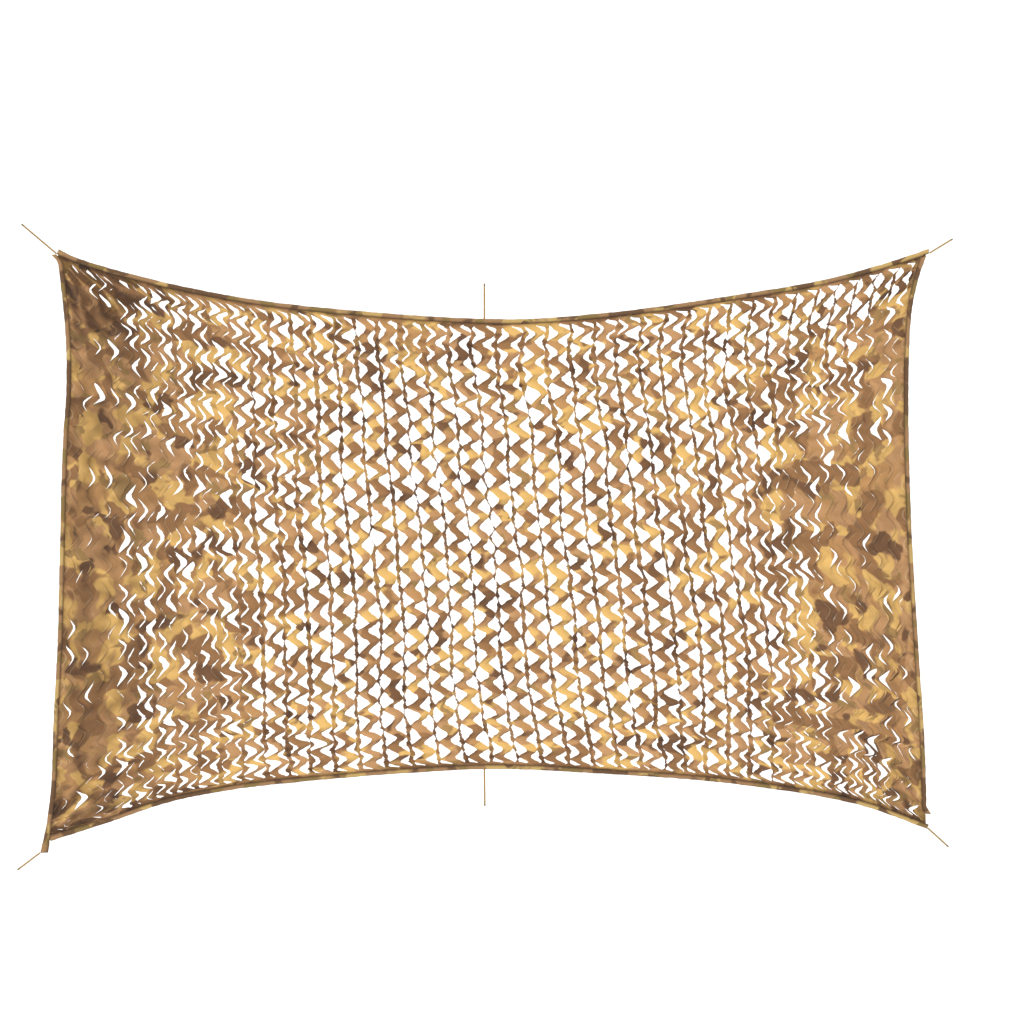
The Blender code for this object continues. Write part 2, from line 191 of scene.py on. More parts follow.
# How a tape's end is shaped: at these distances from the end, how far the tape stands out past the
# sheet's edge, and how wide it is; then how much shorter its inner side is than its outer.
EAR = ((0.0, 0.06), (0.006, 0.0), (0.026, 0.022), 0.0)
SQUARE = ((0.0,), (0.0,), (0.022,), 0.0)
UPRIGHT = ((0.0,), (0.0,), (0.022,), 0.008)
FLAP = ((0.0, 0.014, 0.03, 0.05), (0.028, 0.017, 0.006, 0.0), (0.022, 0.022, 0.022, 0.022), 0.0)
FLAT_TUBE = ((0.0, 0.049, 0.085, 0.14), (0.0, 0.0, 0.0, 0.0), (0.036, 0.034, 0.027, 0.022), 0.016)
GATHERED = ((0.0, 0.15, 0.3), (0.0, 0.0, 0.0), (0.03, 0.026, 0.022), 0.009)
TUCKED = ((0.0, 0.12), (0.0, 0.0), (0.027, 0.022), 0.018)
SPUR = ((0.0, 0.016, 0.04), (0.021, 0.011, 0.0), (0.022, 0.022, 0.022), 0.0)
TAPES = {  # "start" and "stop" are the distances from its two ends to the corners; below 0, past them
    name: dict(zip(("edge", "inward", "start", "first_end", "stop", "last_end"), values))
    for name, values in {
        "binding_top": (TOP_EDGE, 1, 0.008, EAR, 0.0, UPRIGHT),
        "binding_bottom": (BOTTOM_EDGE, -1, 0.041, GATHERED, 0.0, SQUARE),
        "binding_left": (LEFT_EDGE, -1, 0.024, FLAP, -0.046, FLAT_TUBE),
        "binding_right": (RIGHT_EDGE, 1, 0.037, TUCKED, 0.074, SPUR),
    }.items()
}
STITCH_LINE = 0.82  # share of a tape's width at which it is sewn down
STITCH, STITCH_PITCH = 0.004, 0.0062  # length of a stitch, and from one to the next
THREAD = 0.0009  # its thickness

BAR = (  # corners of a stitch: along it, beside it, and how far it stands off the tape
    (-1.0, -1.0, 0.0),
    (1.0, -1.0, 0.0),
    (1.0, 1.0, 0.0),
    (-1.0, 1.0, 0.0),
    (-0.7, -0.5, 0.5),
    (0.7, -0.5, 0.5),
    (0.7, 0.5, 0.5),
    (-0.7, 0.5, 0.5),
)
BAR_FACES = ((0, 1, 5, 4), (1, 2, 6, 5), (2, 3, 7, 6), (3, 0, 4, 7), (4, 5, 6, 7))
TAPE_SPAN = 4.6  # longer than any tape
PUFF, PINCHED, RIPPLE = 0.0006, 0.0006, 0.0005  # depth of a leaf's puffs, of its seam and of its ripples
PUCKER = 0.0011  # how far a tape strays sideways
SEEDS = 10  # from one tape's unevenness to the next one's

CORD = 0.008  # diameter
CORD_STEP = 0.0015
CORD_SIDES = 18  # of the tube
CORD_LAY = 0.032  # length of one full twist
SEALED = 0.014  # length of the melted tip
CORD_ROUTES = {  # x and z where it is sewn to its tape, at its middle and at its free, cut end
    "tie_top_left": {"x": (-2.0118, -2.094, -2.177), "z": (0.3227, 0.396, 0.47)},
    "tie_top_middle": {"x": (0.0, 0.0, 0.0), "z": (0.001, 0.088, 0.175)},
    "tie_top_right": {"x": (2.0928, 2.1225, 2.202), "z": (0.3255, 0.345, 0.396)},
    "tie_bottom_left": {"x": (-2.0898, -2.142, -2.196), "z": (-2.6475, -2.689, -2.732)},
    "tie_bottom_middle": {"x": (0.0, 0.001, 0.002), "z": (-2.2331, -2.324, -2.415)},
    "tie_bottom_right": {"x": (2.0846, 2.133, 2.182), "z": (-2.5244, -2.5705, -2.618)},
}

LIGHTS = (("key", 4.3, 52, -16), ("fill", 1.5, -48, 20))  # strength, then lean and turn in degrees
SUN_WIDTH = 12  # degrees, for soft shadows
SKY = 0.33  # strength of its light
FLOOR = -9.0  # height of the floor, far below the net
FLOOR_RADIUS = 150.0


# ---- curves and surfaces


def smooth(share):
    """0 below 0, 1 above 1, and a smooth rise between."""
    share = np.clip(share, 0.0, 1.0)
    return share * share * (3 - 2 * share)


def mix(a, b, share):
    return a + (b - a) * share


def length_of(edge):
    """Length of the straight runs between an edge's stations."""
    points = np.column_stack([edge["x"], edge["z"]])
    return np.linalg.norm(np.diff(points, axis=0), axis=1).sum()


def along(edge, shares):
    """Points at these shares of an edge's length, on a cubic between each two stations that leaves
    a station in the direction of the line through its neighbours. Past the ends it runs on straight."""
    points = np.column_stack([edge["x"], edge["z"]])
    steps = np.linalg.norm(np.diff(points, axis=0), axis=1)
    at = np.concatenate([[0.0], np.cumsum(steps)])
    slopes = np.gradient(points, at, axis=0)
    wanted = np.asarray(shares, float) * at[-1]
    inside = np.clip(wanted, 0.0, at[-1])
    first = np.clip(np.searchsorted(at, inside, side="right") - 1, 0, len(steps) - 1)
    step = steps[first][..., None]
    f = (inside[..., None] - at[first][..., None]) / step
    found = (
        (1 + 2 * f) * (1 - f) ** 2 * points[first]
        + f * (1 - f) ** 2 * step * slopes[first]
        + f**2 * (3 - 2 * f) * points[first + 1]
        + f**2 * (f - 1) * step * slopes[first + 1]
    )
    before = np.minimum(wanted, 0.0)[..., None] * slopes[0]
    after = np.maximum(wanted - at[-1], 0.0)[..., None] * slopes[-1]
    return found + before + after


def on_sheet(across, down):
    """x and z at these shares of the sheet's width and height: the patch between the four edges,
    each pair of edges blended straight across it and the four corners taken off once."""
    a = np.asarray(across, float)[..., None]
    d = np.asarray(down, float)[..., None]
    top, bottom = along(TOP_EDGE, across), along(BOTTOM_EDGE, across)
    left, right = along(LEFT_EDGE, down), along(RIGHT_EDGE, down)
    corners = (
        (1 - a) * (1 - d) * along(TOP_EDGE, 0.0)
        + a * (1 - d) * along(TOP_EDGE, 1.0)
        + (1 - a) * d * along(BOTTOM_EDGE, 0.0)
        + a * d * along(BOTTOM_EDGE, 1.0)
    )
    return (1 - d) * top + d * bottom + (1 - a) * left + a * right - corners


WIDTH = length_of(TOP_EDGE)
HEIGHT = np.interp(0.0, TOP_EDGE["x"], TOP_EDGE["z"]) - np.interp(0.0, BOTTOM_EDGE["x"], BOTTOM_EDGE["z"])


def uneven(across, down, cells, seed):
    """Smooth unevenness between -1 and 1: a seeded value at each corner of a grid of cells (so many
    across, so many down), eased from corner to corner."""
    values = np.random.default_rng(seed).uniform(-1, 1, (cells[0] + 2, cells[1] + 2))
    a = np.clip(across, 0, 1) * cells[0]
    d = np.clip(down, 0, 1) * cells[1]
    a, d = np.broadcast_arrays(a, d)
    i, j = a.astype(int), d.astype(int)
    above = mix(values[i, j], values[i + 1, j], smooth(a - i))
    below = mix(values[i, j + 1], values[i + 1, j + 1], smooth(a - i))
    return mix(above, below, smooth(d - j))


def crease(x, z, across, down, number):
    """Sharp, wavering creases that fan out from one corner: how strong they are here, fading out at
    their reach, and 1 along each of them and -1 between two."""
    far = np.hypot(x - CORNER_PULLS["x"][number], z - CORNER_PULLS["z"][number])
    angle = np.arctan2(z - CORNER_PULLS["z"][number], x - CORNER_PULLS["x"][number])
    wavy = CREASES["folds"][number] * angle + 2.0 * uneven(across, down, (30, 20), 41 + number)
    return np.exp(-((far / CREASES["reach"][number]) ** 2)), 1 - 2 * np.abs(np.sin(wavy / 2))


def fold_depth(x, z, across, down, slack):
    """How far the cloth stands behind the bindings: slow waves all over, pulls and sharp creases that
    fan out from each corner, upright pleats in the drawn-up cloth at both sides, and dents."""
    depth = SWAY * np.sin(math.tau * x / SWAY_LENGTH[0] + SWAY_TURN) * np.cos(math.tau * z / SWAY_LENGTH[1])
    for number, (cx, cz, deep, reach, folds, turn) in enumerate(zip(*CORNER_PULLS.values())):
        far = np.hypot(x - cx, z - cz)
        angle = np.arctan2(z - cz, x - cx)
        depth = depth + deep * np.exp(-((far / reach) ** 2)) * np.sin(folds * angle + turn)
        strength, folded = crease(x, z, across, down, number)
        depth = depth + CREASES["depth"][number] * strength * folded
    at_side = smooth((PLEATS_TO - np.minimum(across, 1 - across)) / PLEAT_RUN)
    depth = depth + PLEAT * at_side * np.sin(math.tau * x / PLEAT_LENGTH)
    small = DENT_OPEN * uneven(across, down, (89, 58), 51)
    return depth + mix(small, DENT_SLACK * uneven(across, down, (66, 42), 52), slack)


def eased(values, place):
    """Values at these places along the last axis, eased from one to the next."""
    first = place.astype(int)
    return mix(values[..., first], values[..., first + 1], smooth(place % 1))


def from_edge(across, down):
    """Distance from the sheet's nearest edge."""
    return np.minimum(np.minimum(across, 1 - across) * WIDTH, np.minimum(down, 1 - down) * HEIGHT)


def off_the_hem(across, down):
    """0 in the flat margin that the bindings hold, rising to 1 inside it."""
    return smooth((from_edge(across, down) - FLAT_MARGIN) / RUN_IN)


def unit(steps):
    """Directions of length 1."""
    return steps / np.linalg.norm(steps, axis=1, keepdims=True)


def quads(numbers):
    """A face between each two neighbours of a grid of point numbers, across by down, facing -Y."""
    before, after = numbers[..., :-1, :], numbers[..., 1:, :]
    corners = (before[..., :-1], before[..., 1:], after[..., 1:], after[..., :-1])
    return np.stack(corners, axis=-1).reshape(-1, 4)


def add_object(name, data):
    """An object of the scene that holds this data."""
    made = bpy.data.objects.new(name, data)
    bpy.context.scene.collection.objects.link(made)
    return made


def add_mesh(name, points, faces, flat=None, marks=None):
    """A mesh piece from arrays of points and four-cornered faces, shaded smooth. flat holds each
    point's place on the flat cloth, in metres, and marks other named values for each point."""
    used, faces = np.unique(faces, return_inverse=True)
    faces = faces.reshape(-1, 4)
    mesh = bpy.data.meshes.new(name)
    mesh.vertices.add(len(used))
    mesh.vertices.foreach_set("co", points[used].astype(np.float32).ravel())
    mesh.loops.add(faces.size)
    mesh.loops.foreach_set("vertex_index", faces.astype(np.int32).ravel())
    mesh.polygons.add(len(faces))
    mesh.polygons.foreach_set("loop_start", np.arange(0, faces.size, 4, dtype=np.int32))
    mesh.polygons.foreach_set("use_smooth", np.ones(len(faces), bool))
    mesh.update(calc_edges=True)
    if flat is not None:
        layer = mesh.uv_layers.new(name="flat")
        layer.data.foreach_set("uv", flat[used][faces.ravel()].astype(np.float32).ravel())
    for mark, values in (marks or {}).items():
        layer = mesh.attributes.new(mark, "FLOAT", "POINT")
        layer.data.foreach_set("value", values[used].astype(np.float32))
    piece = add_object(name, mesh)
    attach(piece, "root")
    return piece


# ---- materials


COLOURS = {"data_type": "RGBA"}  # a node that mixes colours
ON_CLOTH = {"noise_dimensions": "2D"}  # noise over the flat cloth


def linear(colour):
    """The linear values of an sRGB hex colour, opaque."""
    parts = [int(colour[i : i + 2], 16) / 255 for i in (1, 3, 5)]
    return (*(p / 12.92 if p <= 0.04045 else ((p + 0.055) / 1.055) ** 2.4 for p in parts), 1.0)


def join(tree, node, **links):
    """Links or sets a node's inputs. Each is given by its socket's name, with _ for a space, or by
    its number as sNUMBER."""
    for name, value in links.items():
        socket = node.inputs[int(name[1:])] if name[1:].isdigit() else node.inputs[name.replace("_", " ")]
        if isinstance(value, bpy.types.NodeSocket):
            tree.links.new(value, socket)
        else:
            socket.default_value = value
    return node


def add_node(tree, kind, settings=None, **links):
    """A shader node of this kind with its settings and links."""
    node = tree.nodes.new("ShaderNode" + kind)
    for name, value in (settings or {}).items():
        setattr(node, name, value)
    return join(tree, node, **links)


def new_material(name, sheen):
    """A Principled material with a nap, its tree and its shader."""
    made = bpy.data.materials.new(name)
    made.use_nodes = True
    shader = made.node_tree.nodes["Principled BSDF"]
    shader.inputs["Specular IOR Level"].default_value = 0.3
    shader.inputs["Sheen Weight"].default_value = sheen
    shader.inputs["Sheen Roughness"].default_value = 0.5
    return made, made.node_tree, shader


def blotches(tree, where, size, offset, amount, softness):
    """A mask of irregular blotches of about this size in metres, covering about this share."""
    moved = add_node(tree, "Mapping", {}, Vector=where, Location=(*offset, 0.0))
    settings = {"Scale": 0.6 / size, "Detail": 2.0, "Roughness": 0.45, "Distortion": 0.25}
    noise = add_node(tree, "TexNoise", ON_CLOTH, Vector=moved.outputs[0], **settings)
    edge = 0.5 + (0.5 - amount) * 0.42
    rim = {"Value": noise.outputs["Fac"], "From_Min": edge - softness, "From_Max": edge + softness}
    return add_node(tree, "MapRange", {"interpolation_type": "SMOOTHSTEP"}, **rim).outputs["Result"]


def camouflage(tree, inks, shift):
    """A common blotch print on the flat cloth, its ground first and then each further ink: where it
    reads, and the colour."""
    where = add_node(tree, "TexCoord").outputs["UV"]
    printed = linear(inks["ground"])
    for number, (colour, size, amount, softness) in enumerate(inks["over"]):
        mask = blotches(tree, where, size, (3.1 + 2.7 * number + shift, 7.7 - 1.9 * number), amount, softness)
        ink = linear(colour)
        printed = add_node(tree, "Mix", COLOURS, s0=mask, s6=printed, s7=ink).outputs[2]
    return where, printed


def woven(tree, shader, where, thread, crumple, height):
    """A plain weave drawn as two crossed waves over soft crumples, and a nap that is rubbed smoother
    in places: sets the shader's normal and roughness."""
    waves = []
    for direction in ("X", "Y"):
        bands = {"Vector": where, "Scale": math.tau / 20 / thread, "Distortion": 0.4}
        wave = add_node(tree, "TexWave", {"bands_direction": direction}, **bands)
        waves.append(wave.outputs["Fac"])
    weave = add_node(tree, "Math", {"operation": "MULTIPLY"}, s0=waves[0], s1=waves[1])
    noise = add_node(tree, "TexNoise", ON_CLOTH, Vector=where, Scale=1 / crumple, Detail=2.0)
    fine = add_node(tree, "Bump", {}, Height=weave.outputs[0], Strength=0.2, Distance=thread)
    crumples = {"Height": noise.outputs["Fac"], "Normal": fine.outputs["Normal"]}
    soft = add_node(tree, "Bump", {}, Strength=0.6, Distance=height, **crumples)
    nap = {"From_Min": 0.3, "From_Max": 0.7, "To_Min": 0.74, "To_Max": 0.92}
    rubbed = add_node(tree, "MapRange", {}, Value=noise.outputs["Fac"], **nap)
    join(tree, shader, Normal=soft.outputs["Normal"], Roughness=rubbed.outputs["Result"])


def darkened(tree, colour, mark, least, tint):
    """The colour multiplied by a tint where a mark of the mesh is 1, scaled down to least."""
    amount = add_node(tree, "Attribute", {"attribute_name": mark}).outputs["Fac"]
    white, dark = (1.0, 1.0, 1.0, 1.0), (*(least * part for part in tint), 1.0)
    kept = add_node(tree, "Mix", COLOURS, s0=amount, s6=white, s7=dark).outputs[2]
    multiply = {**COLOURS, "blend_type": "MULTIPLY"}
    return add_node(tree, "Mix", multiply, s0=1.0, s6=colour, s7=kept).outputs[2]


CLOTH_INKS = {
    "ground": "#A47C53",
    "over": (  # colour, size of a blotch in metres, share that it covers, softness of its rim
        ("#A2794B", 0.125, 0.40, 0.060),
        ("#C19B5A", 0.092, 0.41, 0.032),
        ("#8E6F42", 0.068, 0.16, 0.026),
        ("#835E3A", 0.098, 0.34, 0.030),
        ("#64452B", 0.096, 0.14, 0.032),
    ),
}
TAPE_INKS = {
    "ground": "#826342",
    "over": (
        ("#9F8450", 0.090, 0.46, 0.035),
        ("#6F5A31", 0.070, 0.20, 0.026),
        ("#563D25", 0.080, 0.34, 0.028),
    ),
}


def printed_oxford():
    """Woven polyester oxford cloth, printed and matt: it scatters light evenly with a faint nap. Painted
    shade darkens it where strips turn edge-on or lie under strands, in creases, along the bindings and hems
    and towards its sides, and its cut edges carry a painted pale highlight."""
    made, tree, shader = new_material("printed_oxford_cloth", 0.12)
    where, printed = camouflage(tree, CLOTH_INKS, 0.0)
    fibres = add_node(tree, "TexNoise", ON_CLOTH, Vector=where, Scale=420.0, Detail=2.0)
    # A painted pale highlight along the cut edges, broken up by a fine noise.
    edge = add_node(tree, "Attribute", {"attribute_name": "edge"}).outputs["Fac"]
    rim = {"Value": edge, "From_Min": 0.55, "From_Max": 1.0, "To_Min": 0.0, "To_Max": 0.5}
    edge_highlight = add_node(tree, "MapRange", {}, **rim).outputs["Result"]
    multiply = {"operation": "MULTIPLY"}
    edge_highlight_fibres = add_node(tree, "Math", multiply, s0=edge_highlight, s1=fibres.outputs["Fac"]).outputs[0]
    pale = linear("#D9C49C")
    colour = add_node(tree, "Mix", COLOURS, s0=edge_highlight_fibres, s6=printed, s7=pale).outputs[2]
    # Painted shade: across the cloth and in its creases, just inside the bindings, and on strips turned
    # edge-on or under strands.
    colour = darkened(tree, colour, "painted_shade", 0.26, (1.0, 0.84, 0.62))
    colour = darkened(tree, colour, "shade", 0.50, (1.0, 0.92, 0.80))
    colour = darkened(tree, colour, "painted_strip_shade", 0.35, (1.0, 0.84, 0.66))
    join(tree, shader, Base_Color=colour)
    woven(tree, shader, where, 0.0016, 0.03, 0.004)
    return made


def folded_tape():
    """The same cloth cut on the straight and folded in two: twice as dense, so the print looks deeper,
    and drawn into shadow along its seam."""
    made, tree, shader = new_material("folded_oxford_tape", 0.08)
    where, printed = camouflage(tree, TAPE_INKS, 2.0)
    colour = darkened(tree, printed, "shade", 0.42, (1.0, 0.88, 0.78))
    join(tree, shader, Base_Color=colour)
    woven(tree, shader, where, 0.0016, 0.02, 0.002)
    return made


def sewing_thread():
    """Spun polyester thread, waxed: brown with a slight gloss along each stitch."""
    made, tree, shader = new_material("sewing_thread", 0.0)
    where = add_node(tree, "TexCoord").outputs["Object"]
    plies = add_node(tree, "TexNoise", {}, Vector=where, Scale=900.0, Detail=1.0).outputs["Fac"]
    dark, pale = linear("#5C442C"), linear("#8E7048")
    colour = add_node(tree, "Mix", COLOURS, s0=plies, s6=dark, s7=pale).outputs[2]
    gloss = add_node(tree, "MapRange", {}, Value=plies, To_Min=0.40, To_Max=0.62).outputs["Result"]
    bump = add_node(tree, "Bump", {}, Height=plies, Strength=0.4, Distance=0.0002)
    join(tree, shader, Base_Color=colour, Roughness=gloss, Normal=bump.outputs["Normal"])
    return made


def twisted_polyester():
    """Tan polyester cord, twisted from three spun strands: fibrous and fully matt, with its cut end
    melted into a hard, darker and greener tip."""
    made, tree, shader = new_material("twisted_polyester_cord", 0.2)
    where = add_node(tree, "TexCoord").outputs["Object"]
    fibres = add_node(tree, "TexNoise", {}, Vector=where, Scale=260.0, Detail=3.0).outputs["Fac"]
    spread = add_node(tree, "MapRange", {}, Value=fibres, From_Min=0.3, From_Max=0.7)
    spread = spread.outputs["Result"]
    dark, pale = linear("#6E562D"), linear("#9E7F46")
    colour = add_node(tree, "Mix", COLOURS, s0=spread, s6=dark, s7=pale).outputs[2]
    colour = darkened(tree, colour, "sealed", 0.62, (0.90, 1.0, 0.86))
    sealed = add_node(tree, "Attribute", {"attribute_name": "sealed"}).outputs["Fac"]
    gloss = add_node(tree, "MapRange", {}, Value=sealed, To_Min=0.92, To_Max=0.55).outputs["Result"]
    bump = add_node(tree, "Bump", {}, Height=fibres, Strength=0.4, Distance=0.0004)
    join(tree, shader, Base_Color=colour, Roughness=gloss, Normal=bump.outputs["Normal"])
    return made


def pale_paint():
    """The studio floor: flat white paint."""
    made, _, shader = new_material("studio_floor_paint", 0.0)
    shader.inputs["Base Color"].default_value = linear("#F4F3F2")
    shader.inputs["Roughness"].default_value = 0.9
    return made


# ---- the net


def strand_lines(down):
    """Shares of the width at which the strands hang, lines by heights: the running count of strands
    that SPACING gives, read back at whole numbers."""
    share = np.linspace(0.0, 1.0, 4001)
    found = []
    for spacing in (SPACING["top"], SPACING["below"]):
        count = np.cumsum(1 / np.interp(share, SPACING["share"], spacing))
        count = (count - count[0]) / (count[-1] - count[0])
        found.append(np.interp(np.linspace(0.0, 1.0, COLUMNS + 1), count, share)[:, None])
    band = SIDE_BAND / WIDTH
    return band + (1 - 2 * band) * mix(*found, smooth(down / TOP_FADE))


def rows_down(level, across):
    """Shares of the height at which a height counted in arms hangs. With s the share of the arms
    above it, it is s + LOWER_DOWN s (1 - s) - TALL_SIDE side sin(2 pi s) / 2 pi, less or plus a
    squash that fades away from the two hems, and unevenness of a few millimetres."""
    s = np.clip(level / HALF_ROWS, 0.0, 1.0)
    side = np.abs(2 * across - 1)
    moved = s + LOWER_DOWN * s * (1 - s) - TALL_SIDE * side * np.sin(math.tau * s) / math.tau
    moved = moved - SQUASH_TOP * s * np.exp(-s / SQUASH_REACH)
    moved = moved + SQUASH_BOTTOM * (1 - s) * np.exp(-(1 - s) / SQUASH_REACH)
    inside = smooth(np.minimum(s, 1 - s) / 0.08)
    drift = ROW_DRIFT[0] * uneven(across, s, (7, 5), 21) + ROW_DRIFT[1] * uneven(across, s, (40, 45), 22)
    moved = moved + inside * drift / HEIGHT
    hem, first, last = EDGE_INSET / HEIGHT, FIRST_CUT / HEIGHT, 1 - LAST_CUT / HEIGHT
    above = np.clip(-level, 0.0, 1.0) * (first - hem)
    below = np.clip(level - HALF_ROWS, 0.0, 1.0) * (1 - hem - last)
    return mix(first, last, moved) - above + below


def swings(level):
    """How far each line has swung from its left end, 0, to its right end, 1, at a height counted in
    arms: straight between the bridges, and a second and third line rounder at one end."""
    arm = np.abs((level + 1) % 2 - 1)
    straight = np.clip((arm - LEVELS[1]) / (1 - 2 * LEVELS[1]), 0.0, 1.0)
    straight = mix(straight, smooth(straight), 0.15)
    round_right = mix(straight, np.sin(straight * math.pi / 2), 0.22)
    round_left = mix(straight, 1 - np.cos(straight * math.pi / 2), 0.22)
    return straight, round_right, round_left


def open_share(across, down):
    """The share of a spacing that stands open, read between the values of OPEN."""
    heights = np.eye(len(OPEN["down"]))
    return sum(
        np.interp(down, OPEN["down"], height) * np.interp(across, OPEN["across"], row)
        for height, row in zip(heights, OPEN["rows"])
    )


def hang(opened, what):
    """This value of HANG where that share stands open."""
    return np.interp(opened, HANG["open"], HANG[what])


def gaps(level, opened, side, seed):
    """How much wider than the rest each slit stands, ribbons by heights: a seeded value for each
    slit, nothing at its two bridges, and greatest above or below its middle. Some gape, and in
    slack cloth the others are shut."""
    chance = np.random.default_rng(seed)
    size = (COLUMNS, HALF_ROWS // 2 + 2)
    place = (level + side) / 2
    row = np.clip(place, 0, size[1] - 1).astype(int)
    wide = chance.uniform(*GAPE, size)[:, row]
    others = np.clip(chance.normal(0.0, UNLIKE, size), -2 * UNLIKE, 2 * UNLIKE)[:, row]
    others = others * mix(2.0, 1.0, smooth((opened - 0.15) / 0.20))
    gaping = chance.random(size)[:, row] < hang(opened, "gaping")
    widest = np.exp(chance.uniform(-LOPSIDED, LOPSIDED, size))[:, row]
    bulge = np.sin(math.pi * (place % 1) ** widest)
    shut = SHUT * (1 - smooth(opened / 0.10)) * np.sqrt(bulge)
    return np.where(gaping, wide * bulge**2, others * bulge**2 - shut)


def net_surface():
    """Points, faces, flat places and marks of the net. Each strand and each ribbon is a strip of
    points across by down. A strand swings about its own line; a ribbon hangs from the right side of
    the strand before it, where that has swung left, to the left side of the next one, where that has
    swung right. Neighbours share their points there, which makes the uncut bridges."""
    arms = np.arange(HALF_ROWS)[:, None] + np.array(LEVELS)
    level = np.concatenate([[-1.0, -0.4], arms.ravel(), [HALF_ROWS, HALF_ROWS + 0.4, HALF_ROWS + 1]])
    straight, round_right, round_left = swings(np.clip(level, 0, HALF_ROWS))
    down = rows_down(level, 0.5)
    width = along(RIGHT_EDGE, down)[:, 0] - along(LEFT_EDGE, down)[:, 0]
    calm = smooth(np.minimum(level, HALF_ROWS - level) / CALM_ARMS)

    line = strand_lines(down)
    wander = WANDER[0] * uneven(line, down, (5, 4), 19) + WANDER[1] * uneven(line, down, (13, 9), 11)
    slide = 0.0
    for hem, from_hem in (("top", down), ("bottom", 1 - down)):
        fade = np.exp(-from_hem * HEIGHT / HEM_SLIDE["reach"])
        slide = slide + fade * np.interp(line, HEM_SLIDE["share"], HEM_SLIDE[hem])
    rough = hang(open_share(line, down), "uneven") / 1000
    drawn = np.random.default_rng(18).uniform(-1, 1, (COLUMNS + 1, HALF_ROWS + 2))
    drawn = eased(drawn, np.clip(level, 0.0, HALF_ROWS))
    inside = smooth((np.minimum(line, 1 - line) - 0.012) / 0.03) * calm
    strand = line * width + (wander + rough * drawn) * inside + slide / 1000
    pitch = np.diff(strand, axis=0)
    middle = (line[1:] + line[:-1]) / 2
    pitch_around = np.concatenate([pitch[:1], pitch, pitch[-1:]])
    pitch_strand = (pitch_around[1:] + pitch_around[:-1]) / 2
    opened = open_share(middle, down)
    opened = opened + UNEVEN_OPEN * uneven(middle, down, (24, 14), 13) * smooth(opened / 0.2)
    by_column = np.random.default_rng(17).uniform(-1, 1, (COLUMNS, 7))
    by_column = eased(by_column, np.clip(down, 0, 1) * 5)
    opened = opened + COLUMN_OPEN * by_column * smooth(opened / 0.1) * (1 - smooth((opened - 0.3) / 0.2))
    opened = np.clip(opened, 0.0, 0.6) * calm
    around = np.concatenate([opened[:1], opened, opened[-1:]])
    opened_strand = (around[1:] + around[:-1]) / 2

    twist, twist_strand = hang(opened, "twist"), hang(opened_strand, "twist")
    knot = np.cos(math.tau * level) * 0.5 + 0.5
    ribbon_wide = pitch * (1 - opened) * hang(opened, "ribbon")
    uneven_wide = RIBBON_UNEVEN * uneven(middle, down, (40, 30), 14) * calm
    ribbon_wide = ribbon_wide * (1 + uneven_wide + PINCH * twist * (0.5 - knot))
    strand_wide = pitch_strand * (1 - opened_strand) * (1 - hang(opened_strand, "ribbon"))
    uneven_wide = STRAND_UNEVEN * uneven(line, down, (41, 80), 15)
    strand_wide = strand_wide * (1 + twist_strand * (uneven_wide + KNOT_WIDER * (2 * knot - 1)))
    strand_swing = hang(opened_strand, "swing") / 1000

    gap_left = gaps(level, opened, 0, 31) * calm
    gap_right = gaps(level, opened, 1, 32) * calm
    from_left = strand[:-1] - strand_swing[:-1] / 2 + strand_wide[:-1] / 2
    to_right = strand[1:] + strand_swing[1:] / 2 - strand_wide[1:] / 2
    slanted = np.sin(math.pi * (level % 1)) * (np.floor(level) % 2)
    rising = slanted * twist
    gathered = GATHERED_DEPTH * smooth((GATHERED_BELOW - pitch) / 0.012)
    gathered_strand = GATHERED_DEPTH * smooth((GATHERED_BELOW - pitch_strand) / 0.012)
    ribbon_left = mix(from_left, to_right - ribbon_wide, round_right) + gap_left / 2
    ribbon_right = mix(from_left + ribbon_wide, to_right, round_left) - gap_right / 2
    ribbon_left = ribbon_left + NARROWED * ribbon_wide * rising
    strand_middle = strand + strand_swing * (straight - 0.5)
    strand_left = strand_middle - strand_wide / 2
    strand_right = strand_middle + strand_wide / 2
    strand_left[1:] += gap_right / 2
    strand_right[:-1] -= gap_left / 2
    ragged = np.random.default_rng(33)
    still = 1 - smooth(opened_strand / 0.10)
    for side in (ribbon_left, ribbon_right, strand_left, strand_right):
        side += ragged.normal(0.0, RAGGED, side.shape) * calm * (1 - 0.7 * still[: len(side)])

    part = np.array(RIBBON_PARTS)[:, None]
    ribbon_x = mix(ribbon_left[:, None, :], ribbon_right[:, None, :], part)
    deep = (hang(opened, "depth") / 1000 + gathered)[:, None, :]
    at_edge = np.abs(2 * part - 1) > 0.99
    turned_back = TURNED_BACK * rising[:, None, :] * (1 - part) ** 2
    belly = RIBBON_BELLY * twist[:, None, :] * 4 * part * (1 - part)
    ribbon_y = deep * (2 * part - 1) - belly + EDGE_CURL * at_edge + turned_back
    crumple = ragged.uniform(-1, 1, (COLUMNS, len(RIBBON_PARTS), 2 * HALF_ROWS + 2))
    ribbon_y = ribbon_y + CRUMPLE * eased(crumple, np.clip(level, 0, HALF_ROWS) * 2)
    ribbon_flat = (np.arange(COLUMNS)[:, None, None] + 0.5 + part / 2) * FLAT_PITCH
    # Painted shade on a ribbon where it turns back and on each second arm, and a painted shadow where it lies
    # under the strands in slack cloth.
    ribbon_painted_shade = RIBBON_SHADE[0] * rising[:, None, :] * smooth((0.5 - part) / 0.4)
    ribbon_painted_shade = ribbon_painted_shade + RIBBON_SHADE[1] * slanted
    tucked_shadow = (1 - smooth(opened / 0.2)) * (0.5 + 0.5 * uneven(middle, down, (60, 40), 58))
    shadow_under_strands = smooth((0.4 - part) / 0.4) + TUCKED_RIGHT_SHADOW * smooth((part - 0.7) / 0.3)
    ribbon_painted_shade = ribbon_painted_shade + tucked_shadow[:, None, :] * shadow_under_strands

